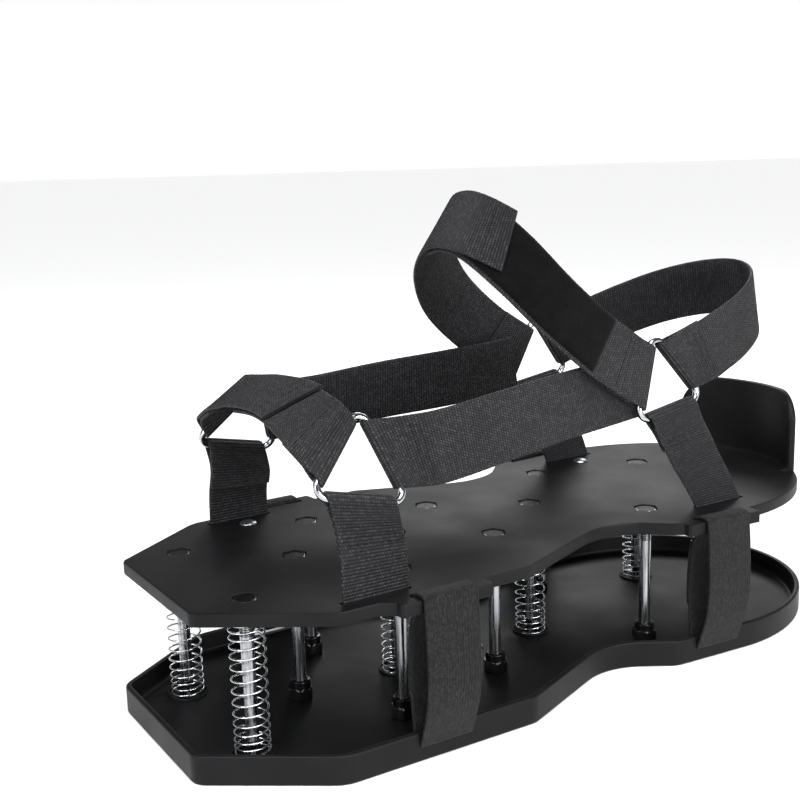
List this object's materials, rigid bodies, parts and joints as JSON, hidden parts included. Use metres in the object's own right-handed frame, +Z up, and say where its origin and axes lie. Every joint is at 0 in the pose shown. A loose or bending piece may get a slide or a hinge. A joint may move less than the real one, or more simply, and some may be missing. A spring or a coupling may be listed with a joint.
{
  "type": "lawn aerator shoe",
  "caption": "Lawn aerator shoe: spiked foot plate on coil springs over a rimmed ground tray, with elastic side loops and webbing straps on wire rings.",
  "frame": {"origin": "under the middle of the ground tray, on the ground", "axes": "+Z up, the toe towards -X, the heel towards +X, near side towards -Y"},
  "size_m": [0.3, 0.139, 0.1851],
  "materials": {
    "plate_plastic": "satin moulded polypropylene, black",
    "tray_plastic": "satin moulded polypropylene, black",
    "bush_plastic": "glossy moulded nylon, black",
    "spike_steel": "drawn steel, bright zinc, ground point",
    "zinc_steel": "zinc plated",
    "spring_steel": "bright nickel plated wire",
    "ring_steel": "polished welded wire",
    "webbing": "ribbed woven webbing, black",
    "loop_pile": "napped loop pile on webbing, black",
    "elastic_knit": "knitted elastic, black with grey flecks"
  },
  "bodies": {
    "plate_assembly": {"foot_plate": "plate_plastic", "spike_lock_nuts": "zinc_steel", "strap_rivets": "zinc_steel", "spike_toe_near": "spike_steel", "spike_toe_far": "spike_steel", "spike_front_middle": "spike_steel", "spike_ball_near": "spike_steel", "spike_ball_far": "spike_steel", "spike_ball_middle": "spike_steel", "spike_arch_near": "spike_steel", "spike_arch_far": "spike_steel", "spike_arch_middle": "spike_steel", "spike_heel_front_near": "spike_steel", "spike_heel_front_far": "spike_steel", "spike_heel_rear_near": "spike_steel", "spike_heel_rear_far": "spike_steel", "spring_toe_near": "spring_steel", "spring_toe_far": "spring_steel", "spring_ball": "spring_steel", "spring_arch": "spring_steel", "spring_heel_near": "spring_steel", "spring_heel_far": "spring_steel", "elastic_front_near": "elastic_knit", "elastic_front_far": "elastic_knit", "elastic_rear_near": "elastic_knit", "elastic_rear_far": "elastic_knit", "ring_front_near": "ring_steel", "ring_front_far": "ring_steel", "ring_rear_near": "ring_steel", "ring_rear_far": "ring_steel", "riser_front_near": "webbing", "riser_front_far": "webbing", "riser_rear_near": "webbing", "riser_rear_far": "webbing", "side_strap_near": "webbing", "side_strap_far": "webbing", "toe_strap_near": "webbing", "toe_strap_far": "webbing", "ankle_strap_near": "loop_pile", "ankle_strap_far": "webbing", "heel_strap": "webbing"},
    "tray": {"ground_tray": "tray_plastic", "tray_eyelet": "zinc_steel", "bush_front_middle": "bush_plastic", "bush_ball_near": "bush_plastic", "bush_ball_far": "bush_plastic", "bush_arch_near": "bush_plastic", "bush_arch_far": "bush_plastic", "bush_heel_near": "bush_plastic", "bush_heel_far": "bush_plastic"},
    "toe_tail": {"toe_strap_tail": "webbing"},
    "ankle_tail": {"ankle_strap_tail": "webbing"}
  },
  "joints": [
    {"name": "tray_press", "type": "slide", "parent": "plate_assembly", "child": "tray", "axis": [0, 0, 1], "range_m": [0, 0.039], "stiffness_N_per_m": 5000, "springref_m": -0.01, "deforming": ["spring_toe_near", "spring_toe_far", "spring_ball", "spring_arch", "spring_heel_near", "spring_heel_far", "elastic_front_near", "elastic_front_far", "elastic_rear_near", "elastic_rear_far"]},
    {"name": "toe_tail_peel", "type": "hinge", "parent": "plate_assembly", "child": "toe_tail", "pos_m": [-0.0984, 0.0145, 0.1166], "axis": [-0.9393, -0.1251, -0.3195], "range_deg": [0, 60]},
    {"name": "ankle_tail_peel", "type": "hinge", "parent": "plate_assembly", "child": "ankle_tail", "pos_m": [-0.0206, 0.012, 0.1713], "axis": [-0.6182, -0.159, -0.7698], "range_deg": [0, 60]}
  ]
}
